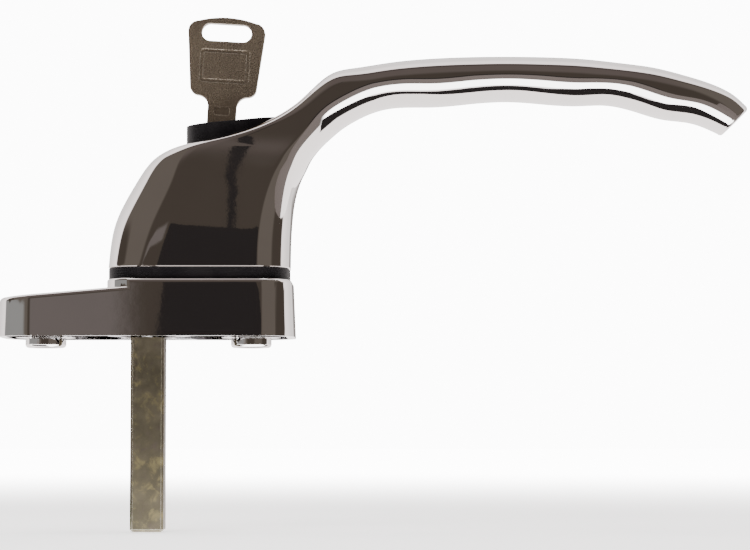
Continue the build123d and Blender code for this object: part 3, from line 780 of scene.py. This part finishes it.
@dataclass
class Handle:
    """The cast handle: body, neck and lever in one skin, and the spigot below it.

    Attributes:
        half: Half width of the body, in millimetres.
        rings: Rings along the skin.
        crown_points: Vertices along half of a crowned side.
        corner_points: Vertices in each corner of a ring.
        side_points: Vertices along each straight flank.
        tip_round: Radius of the tip's rim, in millimetres.
        foot_bevel: Width of the broken edge at the body's foot, in millimetres.
        calm: How far widths and radii are evened out along the skin, in rings.
        sharp: The bend, in degrees, past which the skin's shading breaks.
        gap: Running gap round the lock housing and the clip, in millimetres.
        housing_neck: Height of the lock housing's neck, below its seat, in millimetres.
        bore_past: How far the lock bore's cutter passes the housing's top, in millimetres.
        spigot_r: The spigot's radius, in millimetres.
        spigot_hole: Radius of its open end, in millimetres.
        spigot_open: Depth of its open end, in millimetres.
        clip_groove: Depth of the clip's groove, in millimetres.
        lead_in: How much slimmer the spigot is below the groove, in millimetres.
        stations: Cross-sections from the body's foot to the lever's tip.
    """

    half: float = 12.3
    rings: int = 360
    crown_points: int = 9
    corner_points: int = 13
    side_points: int = 7
    tip_round: float = 0.8
    foot_bevel: float = 0.25
    calm: float = 7.0
    sharp: float = 40.0
    gap: float = 0.05
    housing_neck: float = 3.15
    bore_past: float = 40.0
    spigot_r: float = 6.0
    spigot_hole: float = 5.05
    spigot_open: float = 2.0
    clip_groove: float = 0.55
    lead_in: float = 0.15
    stations: list[Station] = field(default_factory=list)

    def __post_init__(self) -> None:
        """Lays out the stations from the half width."""
        h = self.half
        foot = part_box("slip_ring")[1].z / MM
        self.stations = [
            Station((-8.1, foot), (29.7, foot), h, 8.0, 8.0),
            Station((-7.8, 18.4), (29.75, 18.0), h, 9.0, 8.0),
            Station((-7.0, 23.2), (29.9, 22.0), h - 0.1, 10.2, 7.8),
            Station((-5.1, 27.9), (30.3, 26.4), h - 0.3, 10.4, 7.2, 84.0, 86.0),
            Station((-2.2, 33.0), (31.0, 30.2), h - 0.6, 9.6, 6.0, 80.0, 76.0),
            Station((1.7, 37.6), (32.2, 33.6), h - 1.0, 7.0, 4.8, 80.0, 66.0),
            Station((4.8, 39.15), (32.95, 35.1), h - 1.25, 5.2, 4.4, 83.0, 63.0),
            Station((7.6, 39.95), (33.6, 36.5), h - 1.5, 3.6, 4.0, 87.0, 60.0),
            Station((14.0, 41.2), (35.0, 38.7), h - 2.0, 2.4, 3.6, 88.0, 56.0),
            Station((22.5, 43.8), (36.8, 40.7), h - 2.4, 2.2, 3.2, 88.0, 54.0),
            Station((30.5, 48.6), (39.0, 42.7), h - 2.8, 2.2, 3.0, 84.0, 53.0),
            Station((38.1, 55.4), (42.3, 45.1), h - 3.0, 2.8, 3.0, 72.0, 53.0),
            Station((43.0, 56.7), (45.8, 46.9), h - 3.1, 3.3, 3.0, 66.0, 53.0),
            Station((50.7, 57.9), (51.5, 48.4), h - 3.2, 3.4, 3.0, 65.0, 53.0),
            Station((60.0, 58.75), (60.0, 48.6), h - 3.3, 3.5, 3.0, 65.0, 53.0),
            Station((68.0, 59.05), (67.8, 49.3), h - 3.3, 3.5, 3.0, 65.0, 53.0),
            Station((76.5, 59.1), (76.0, 49.7), h - 3.3, 3.5, 3.0, 65.0, 53.0),
            Station((85.0, 58.95), (84.0, 49.1), h - 3.3, 3.5, 3.0, 65.0, 53.0),
            Station((92.5, 58.5), (90.6, 48.85), h - 3.4, 3.5, 3.0, 65.0, 53.0),
            Station((99.5, 57.7), (96.2, 48.95), h - 3.5, 3.5, 3.0, 65.0, 53.0),
            Station((106.0, 56.8), (102.3, 47.6), h - 3.7, 3.5, 3.0, 65.0, 53.0),
            Station((112.0, 55.3), (107.8, 46.0), h - 4.0, 3.4, 3.0, 65.0, 53.0),
            Station((118.0, 53.4), (113.0, 45.35), h - 4.4, 3.2, 2.9, 65.0, 53.0),
            Station((122.6, 51.1), (116.6, 44.3), h - 4.9, 3.0, 2.7, 65.0, 54.0),
            Station((125.35, 48.65), (119.55, 42.95), h - 5.4, 2.8, 2.5, 65.0, 55.0),
        ]

    def rows(self) -> np.ndarray:
        """All rings' rows.

        The two lines are natural splines through the stations.  Widths, radii
        and turns run straight between stations and are then evened out with a
        Gaussian window.  Both ends' rims are rounded.

        Returns:
            One row per ring: outer x, z, inner x, z, half width, two radii, two turns.
        """
        table = np.array([station.row() for station in self.stations])
        middle = (table[:, 0:2] + table[:, 2:4]) / 2
        length = np.concatenate([[0], np.cumsum(np.linalg.norm(np.diff(middle, axis=0), axis=1))])
        at = np.linspace(0, length[-1], self.rings)
        lines = natural_spline(length, table[:, :4], at)
        sizes = np.stack([np.interp(at, length, column) for column in table[:, 4:].T], axis=-1)
        body = np.concatenate([lines, evened(sizes, self.calm)], axis=1)
        return np.concatenate([self.foot_rim(body[0]), body[1:], self.tip_rim(body[-1])])

    def foot_rim(self, row: np.ndarray) -> np.ndarray:
        """Two rings that break the foot's edge at 45 degrees."""
        low = self.drawn_in(row, self.foot_bevel)
        high = row.copy()
        high[[1, 3]] += self.foot_bevel
        return np.array([low, high])

    def tip_rim(self, row: np.ndarray) -> np.ndarray:
        """Rings that round the tip's rim: out by r sin(a), in by r (1 - cos(a))."""
        across = row[0:2] - row[2:4]
        ahead = np.array([across[1], -across[0]]) / np.linalg.norm(across)
        rings = []
        for turn in np.linspace(0, math.pi / 2, 11)[1:]:
            ring = self.drawn_in(row, self.tip_round * (1 - math.cos(turn)))
            out = ahead * self.tip_round * math.sin(turn)
            ring[0:2] += out
            ring[2:4] += out
            rings.append(ring)
        return np.array(rings)

    @staticmethod
    def drawn_in(row: np.ndarray, inset: float) -> np.ndarray:
        """The same section, smaller by an inset all round."""
        small = row.copy()
        across = row[0:2] - row[2:4]
        unit = across / np.linalg.norm(across)
        small[0:2] -= unit * inset
        small[2:4] += unit * inset
        small[4:7] -= inset
        return small

    def flank(
        self, half: np.ndarray, radius: np.ndarray, turn: np.ndarray
    ) -> tuple[np.ndarray, np.ndarray]:
        """One quarter of a section, from the middle of a crowned side to its widest point.

        At normal angle t the crown is (R cos t, R (1 - sin t)) deep from the
        side's middle, for t from 90 degrees to the corner's turn a, where
        R = (half - r (1 - cos a)) / cos a.  The corner then follows with
        radius r, from a to 0, tangent to both.

        Args:
            half: Half width of each ring.
            radius: Corner radius r of each ring.
            turn: Corner turn a of each ring, in radians.

        Returns:
            Each point's y, and its depth below the side's middle.
        """
        half, radius, turn = half[:, None], radius[:, None], turn[:, None]
        crown = (half - radius * (1 - np.cos(turn))) / np.cos(turn)
        share = np.linspace(0, 1, self.crown_points)[None, :-1]
        normal = math.pi / 2 + (turn - math.pi / 2) * share
        first_y, first_u = crown * np.cos(normal), crown * (1 - np.sin(normal))
        normal = turn * np.linspace(1, 0, self.corner_points)[None, :]
        start = crown * (1 - np.sin(turn))
        corner_y = half - radius + radius * np.cos(normal)
        corner_u = start + radius * (np.sin(turn) - np.sin(normal))
        return np.concatenate([first_y, corner_y], axis=1), np.concatenate([first_u, corner_u], axis=1)

    def ring_points(self, rows: np.ndarray) -> np.ndarray:
        """Crowned, rounded rectangles across each row's line.

        Args:
            rows: One row per ring.

        Returns:
            An array of rings by vertices by three coordinates, in millimetres.
        """
        outer, inner, half = rows[:, 0:2], rows[:, 2:4], rows[:, 4]
        across = outer - inner
        height = np.linalg.norm(across, axis=1)[:, None]
        up = across / height
        turns = np.radians(np.clip(rows[:, 7:9], 30.0, 88.0))
        top_y, top_u = self.flank(half, rows[:, 5], turns[:, 0])
        low_y, low_u = self.flank(half, rows[:, 6], turns[:, 1])
        deep = np.maximum(top_u[:, -1:] + low_u[:, -1:], 1e-6)
        fit = np.minimum(1.0, 0.995 * height / deep)
        top_u, low_u = height - top_u * fit, low_u * fit
        share = np.linspace(0, 1, self.side_points + 2)[None, 1:-1]
        side_u = top_u[:, -1:] + (low_u[:, -1:] - top_u[:, -1:]) * share
        side_y = half[:, None] + 0 * side_u
        y = np.concatenate([top_y, side_y, low_y[:, ::-1]], axis=1)
        u = np.concatenate([top_u, side_u, low_u[:, ::-1]], axis=1)
        y = np.concatenate([y, -y[:, -2:0:-1]], axis=1)
        u = np.concatenate([u, u[:, -2:0:-1]], axis=1)
        x = inner[:, 0:1] + u * up[:, 0:1]
        z = inner[:, 1:2] + u * up[:, 1:2]
        return np.stack([x, y, z], axis=-1)

    def skin(self) -> bpy.types.Object:
        """The outer skin as one closed tube, with the lock chamber cut into it.

        Returns:
            The skin.
        """
        rings = self.ring_points(self.rows()) * MM
        poles = np.stack([rings[0].mean(axis=0), rings[-1].mean(axis=0)])
        points = np.concatenate([rings.reshape(-1, 3), poles])
        size = rings.shape[:2]
        skin = mesh_object("handle_skin", points, ring_quads(*size), end_fans(*size))
        low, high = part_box("lock_housing")
        centre = ((low.x + high.x) / 2, 0.0)
        radius = (high.x - low.x) / 2 + self.gap * MM
        seat = low.z + self.housing_neck * MM
        cut_away(skin, cylinder("lock_bore", centre, radius, (seat, high.z + self.bore_past * MM)))
        skin.data.shade_smooth()
        skin.data.set_sharp_from_angle(angle=math.radians(self.sharp))
        dress(skin, "handle_casting")
        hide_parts("handle_casting")
        return skin

    def spigot(self) -> bpy.types.Object:
        """The spigot's skin: a turned profile with the clip's groove and an open end.

        Returns:
            The spigot.
        """
        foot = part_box("slip_ring")[1].z
        groove_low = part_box("retaining_circlip")[0].z - self.gap * MM
        groove_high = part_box("retaining_circlip")[1].z + self.gap * MM
        radius = self.spigot_r * MM
        neck = radius - self.clip_groove * MM
        end = radius - self.lead_in * MM
        hole = self.spigot_hole * MM
        profile = np.array([
            (hole, foot), (radius, foot), (radius, groove_high), (neck, groove_high),
            (neck, groove_low), (end, groove_low),
            (end, 0.0), (hole, 0.0), (hole, self.spigot_open * MM), (hole, foot),
        ])
        return turned("handle_spigot", profile, "handle_casting")

    def build(self) -> None:
        """Builds and dresses every piece of the casting."""
        self.skin()
        self.spigot()


def turned(name: str, profile: np.ndarray, node: str) -> bpy.types.Object:
    """A piece of revolution about the spindle axis: x = r cos(t), y = r sin(t), z from the profile.

    Args:
        name: The piece's name.
        profile: Rows of radius and z, in metres, round a closed loop.
        node: The CAD node whose finish and body it takes.

    Returns:
        The piece.
    """
    around = 128
    turn = np.linspace(0, 2 * math.pi, around, endpoint=False)
    radius, z = profile[:, 0:1], profile[:, 1:2]
    points = np.stack([radius * np.cos(turn), radius * np.sin(turn), z + 0 * turn], axis=-1)
    piece = mesh_object(name, points.reshape(-1, 3), ring_quads(len(profile), around))
    piece.data.set_sharp_from_angle(angle=math.radians(30))
    dress(piece, node)
    return piece


# ----------------------------------------------------------- other assemblies


@dataclass
class CarriedPieces:
    """Pieces whose CAD shape is right: welded, smoothed, edges broken, dressed.

    Attributes:
        edges: How each node's edges are broken.
    """

    edges: dict[str, Edges] = field(default_factory=lambda: {
        "base_plate": Edges.FINE,
        "screw_cap": Edges.FINE,
        "slip_ring": Edges.FINE,
        "lock_surround": Edges.SOFT,
        "key": Edges.SOFT,
        "spindle": Edges.FINE,
        "lock_plug": Edges.FINE,
        "lock_housing": Edges.FINE,
        "retaining_washer": Edges.FINE,
        "retaining_circlip": Edges.FINE,
        "lock_bolt": Edges.FINE,
    })

    def build(self) -> None:
        """Copies every CAD node that no other class replaces."""
        for node in sorted(frame["nodes"]):
            if node != "handle_casting":
                refined_copy(node, self.edges.get(node, Edges.AS_CUT))


# -------------------------------------------------------------------- studio


def ribbon(first: np.ndarray, second: np.ndarray) -> np.ndarray:
    """Corners of the quads between two edge lines a and b, four rows to a quad: a0, b0, b1, a1.

    Args:
        first: One row per point of the first edge.
        second: One row per point of the second edge.

    Returns:
        The corners, four rows to a quad.
    """
    corners = np.stack([first[:-1], second[:-1], second[1:], first[1:]], axis=1)
    return corners.reshape(-1, first.shape[1])


@dataclass
class Studio:
    """A pale floor, soft light and the camera, in metres.

    Attributes:
        camera_at: The camera's place.
        aim_at: The point that it looks at.
        lens: Focal length on a 36 mm sensor, in millimetres.
        seen_white: What the camera sees of the far floor and the room.
        seen_floor: What the camera sees of the floor nearby.
        pale: Light from the backdrop side.
        pale_back: Light from further behind.
        dim_back: Light from straight behind.
        brown: Light from the dim room in front.
        high_brown: Light from its upper part.
        olive: Light from the room's sides and from overhead.
        low_left: Light from low down on the left.
        left_wall: Light from the wall on the left.
        slot: Light from the dark gap overhead.
        floor_white: Light from the floor below the lever's front.
        floor_pale: Light from the floor behind that.
        floor_front: Light from the floor in front.
        floor_paint: The floor's own colour for the camera.
        floor_painted_shade: Painted shade: the floor's near-black colour for every other ray, so that
            the gloss and bounced light get its glow and almost no lamp light.
        floor_half: Half of the floor's side.
        floor_drop: How far the floor lies below the object.
        strip_rise: How far the dark strips lie above the object's lowest point.
        card: Corners of the dark card beside the camera, as x and z.
        stand: The card's stand: x, half width and z at each bend.
        lever_strip: The dark strip on the floor below the lever: x, near y and far y.
        wing_strip: The dark strip below the wing: x, near y and far y.
        card_glow: What little light the dark cards give.
    """

    camera_at: Point = (0.0474, -0.56, -0.020)
    aim_at: Point = (0.0474, 0.0, 0.0132)
    lens: float = 128.4
    seen_white: Color = (12.0, 12.0, 12.0)
    seen_floor: Color = (1.2, 1.2, 1.2)
    pale: Color = (2.1, 1.95, 1.93)
    pale_back: Color = (1.55, 1.46, 1.44)
    dim_back: Color = (0.34, 0.31, 0.29)
    brown: Color = (0.076, 0.062, 0.051)
    high_brown: Color = (0.14, 0.115, 0.105)
    olive: Color = (0.155, 0.132, 0.114)
    low_left: Color = (0.175, 0.152, 0.144)
    left_wall: Color = (0.35, 0.35, 0.345)
    slot: Color = (0.02, 0.016, 0.014)
    floor_white: Color = (8.0, 8.0, 8.0)
    floor_pale: Color = (2.5, 2.35, 2.32)
    floor_front: Color = (0.17, 0.142, 0.132)
    floor_paint: Color = (0.93, 0.92, 0.915)
    floor_painted_shade: Color = (0.04, 0.036, 0.034)
    floor_half: float = 3.0
    floor_drop: float = 0.0001
    strip_rise: float = 0.001
    card: tuple[Span, ...] = ((-0.044, 0.043), (0.205, 0.043), (0.205, 0.078), (-0.038, 0.103))
    stand: tuple[Point, ...] = (
        (-0.011, 0.0017, 0.096), (-0.009, 0.0017, 0.145), (-0.003, 0.002, 0.185),
        (0.005, 0.0026, 0.228), (0.014, 0.0032, 0.280), (0.020, 0.0036, 0.361),
    )
    lever_strip: tuple[Point, ...] = (
        (0.012, 0.012, 0.020), (0.060, 0.012, 0.025), (0.080, 0.012, 0.036),
        (0.095, 0.001, 0.040), (0.112, -0.020, 0.042), (0.150, -0.060, 0.060),
    )
    wing_strip: tuple[Point, ...] = ((-0.25, -0.068, 0.0), (-0.012, -0.068, 0.0))
    card_glow: Color = (0.024, 0.020, 0.020)

    def camera(self) -> None:
        """Places the camera."""
        data = bpy.data.cameras.new("view")
        data.lens = self.lens
        data.clip_start = 0.01
        camera = bpy.data.objects.new("view", data)
        bpy.context.scene.collection.objects.link(camera)
        camera.location = self.camera_at
        aim = np.array(self.aim_at) - np.array(self.camera_at)
        rise = math.atan2(aim[2], math.hypot(aim[0], aim[1]))
        camera.rotation_euler = (math.pi / 2 + rise, 0.0, math.atan2(-aim[0], aim[1]))
        bpy.context.scene.camera = camera

    def floor(self) -> None:
        """A plain floor under the object: white for the camera, and glowing in zones for the chrome."""
        size = self.floor_half
        corners = np.array([(-size, -size), (size, -size), (size, size), (-size, size)])
        floor = self.level_card("floor", corners, -self.floor_drop)
        material = bpy.data.materials.new("floor_paint")
        material.use_nodes = True
        shading = Shading(material.node_tree)
        place = shading.add("ShaderNodeTexCoord").outputs["Object"]
        parts = shading.feed(shading.add("ShaderNodeSeparateXYZ"), Vector=place)
        away = shading.add("ShaderNodeVectorMath", operation="LENGTH")
        shading.tree.links.new(place, away.inputs[0])
        far = shading.remap(away.outputs["Value"], 0.15, 0.9)
        near_side = shading.remap(parts.outputs["Y"], 0.012, -0.004)
        front = shading.remap(parts.outputs["Y"], -0.115, -0.135)
        tip_side = shading.remap(parts.outputs["X"], 0.13, 0.16)
        front = shading.math("MAXIMUM", front, shading.math("MULTIPLY", tip_side, near_side))
        seen = shading.add("ShaderNodeLightPath").outputs["Is Camera Ray"]
        glow = shading.blend(near_side, self.floor_pale, self.floor_white)
        glow = shading.blend(front, glow, self.floor_front)
        glow = shading.blend(seen, glow, shading.blend(far, self.seen_floor, self.seen_white))
        # Painted shade: every ray but the camera's sees the floor near black, lit only by its glow.
        tone = shading.blend(seen, self.floor_painted_shade, self.floor_paint)
        paint = shading.add("ShaderNodeBsdfPrincipled")
        shading.feed(paint, Base_Color=tone, Emission_Color=glow, Emission_Strength=1.0, Roughness=0.9)
        output = shading.add("ShaderNodeOutputMaterial")
        shading.feed(output, Surface=paint.outputs["BSDF"])
        floor.data.materials.append(material)

    def level_card(self, name: str, corners: np.ndarray, rise: float) -> bpy.types.Object:
        """A level card of the stage.

        Args:
            name: Its name.
            corners: Its corners in plan, four rows to a face.
            rise: Its height over the object's lowest point.

        Returns:
            The card.
        """
        level = np.full(len(corners), CAD_BOX[0][2] + rise)
        return self.flat_card(name, np.column_stack([corners, level]))

    @staticmethod
    def flat_card(name: str, corners: np.ndarray) -> bpy.types.Object:
        """A flat card of the stage, one face for each four corners.

        Args:
            name: Its name.
            corners: One row of three coordinates per corner.

        Returns:
            The card.
        """
        mesh = bpy.data.meshes.new(name)
        mesh.from_pydata(corners.tolist(), [], np.arange(len(corners)).reshape(-1, 4).tolist())
        thing = bpy.data.objects.new(name, mesh)
        bpy.context.scene.collection.objects.link(thing)
        return thing

    def lamp(self, name: str, place: Point, size: float, power: float) -> None:
        """A soft square lamp that looks at the object and doesn't show in its gloss.

        Args:
            name: The lamp's name.
            place: Where it hangs.
            size: Its side.
            power: Its power, in watts.
        """
        data = bpy.data.lights.new(name, "AREA")
        data.size = size
        data.energy = power
        lamp = bpy.data.objects.new(name, data)
        bpy.context.scene.collection.objects.link(lamp)
        lamp.location = place
        aim = Vector(self.aim_at) - Vector(place)
        lamp.rotation_euler = aim.to_track_quat("-Z", "Y").to_euler()
        lamp.visible_glossy = False

    def world(self) -> None:
        """The room's light by the ray's direction x, y, z, and plain white for the camera."""
        world = bpy.data.worlds.new("room")
        bpy.context.scene.world = world
        world.use_nodes = True
        shading = Shading(world.node_tree)
        ray = shading.add("ShaderNodeSeparateXYZ")
        shading.feed(ray, Vector=shading.add("ShaderNodeTexCoord").outputs["Generated"])
        x, y, z = (ray.outputs[name] for name in "XYZ")
        edge = shading.remap(shading.math("MAXIMUM", z, 0.0), 0.65, 0.95, (0.22, -0.08))
        behind = shading.remap(shading.math("SUBTRACT", y, edge), -0.02, 0.04)
        back = shading.blend(shading.remap(y, 0.3, 0.85), self.pale, self.pale_back)
        back = shading.blend(shading.remap(y, 0.9, 0.99), back, self.dim_back)
        light = shading.blend(behind, self.front_room(shading, x, y, z), back)
        seen = shading.add("ShaderNodeLightPath").outputs["Is Camera Ray"]
        light = shading.blend(seen, light, self.seen_white)
        background = shading.add("ShaderNodeBackground")
        shading.feed(background, Color=light)
        output = shading.add("ShaderNodeOutputWorld")
        shading.feed(output, Surface=background.outputs["Background"])

    def front_room(self, shading: Shading, x: Socket, y: Socket, z: Socket) -> Socket:
        """Light from the dim room in front, with its lighter sides, left wall and dark slot.

        Args:
            shading: The world's tree.
            x: The direction's part along +X.
            y: Its part along +Y.
            z: Its part along +Z.

        Returns:
            The light.
        """
        light = shading.blend(shading.remap(z, 0.3, 0.62), self.brown, self.high_brown)
        sides = shading.band(shading.math("ABSOLUTE", x), (0.3, 0.4), (0.88, 0.94))
        over = shading.remap(y, -0.16, 0.0, (0.0, 0.6))
        over = shading.math("MULTIPLY", over, shading.remap(z, 0.4, 0.6))
        light = shading.blend(shading.math("MAXIMUM", sides, over), light, self.olive)
        left = shading.band(x, (-0.28, -0.2), (-0.1, -0.085))
        level = shading.band(z, (0.108, 0.118), (0.145, 0.16))
        light = shading.blend(shading.math("MULTIPLY", left, level), light, self.low_left)
        wall = shading.remap(x, -0.45, -0.62)
        wall = shading.math("MULTIPLY", wall, shading.remap(z, 0.15, 0.12))
        light = shading.blend(wall, light, self.left_wall)
        slot = shading.math("ABSOLUTE", shading.math("ADD", y, 0.24))
        slot = shading.remap(slot, 0.03, 0.1, (0.5, 0.0))
        slot = shading.math("MULTIPLY", slot, shading.remap(z, 0.8, 0.9))
        return shading.blend(slot, light, self.slot)

    def dark_cards(self) -> None:
        """Dark cards that only the gloss sees: one beside the camera on its stand, one on the floor."""
        material = bpy.data.materials.new("card_black")
        material.use_nodes = True
        shader = material.node_tree.nodes["Principled BSDF"]
        shader.inputs["Base Color"].default_value = (0.004, 0.004, 0.004, 1.0)
        shader.inputs["Emission Color"].default_value = (*self.card_glow, 1.0)
        shader.inputs["Emission Strength"].default_value = 1.0
        shader.inputs["Roughness"].default_value = 1.0
        shader.inputs["Specular IOR Level"].default_value = 0.0
        x, half, z = np.array(self.stand).T
        stand = ribbon(np.column_stack([x - half, z]), np.column_stack([x + half, z]))
        upright = np.concatenate([np.array(self.card), stand])
        upright = np.insert(upright, 1, self.camera_at[1], axis=1)
        strips = [np.array(strip) for strip in (self.lever_strip, self.wing_strip)]
        below = np.concatenate([ribbon(strip[:, [0, 2]], strip[:, [0, 1]]) for strip in strips])
        beside = self.flat_card("camera_card", upright)
        for card in (beside, self.level_card("floor_card", below, self.strip_rise)):
            card.data.materials.append(material)
            card.visible_camera = False
            card.visible_diffuse = False
            card.visible_shadow = False

    def build(self) -> None:
        """Builds the whole studio."""
        self.camera()
        self.floor()
        self.lamp("top_light", (0.05, -0.3, 1.2), 1.2, 14.0)
        self.lamp("front_light", (-0.5, -0.9, 0.5), 0.8, 12.0)
        self.dark_cards()
        self.world()


def main() -> None:
    """Builds the finishes, the studio and the pieces, in that order."""
    logging.basicConfig(level=logging.INFO)
    build_grain_group()
    build_smudge_group()
    build_edge_group()
    build_dust_group()
    for finish in FINISHES:
        finish.build().name = f"{finish.name}_finish"
    Studio().build()
    Handle().build()
    CarriedPieces().build()


if __name__ == "__main__":
    main()
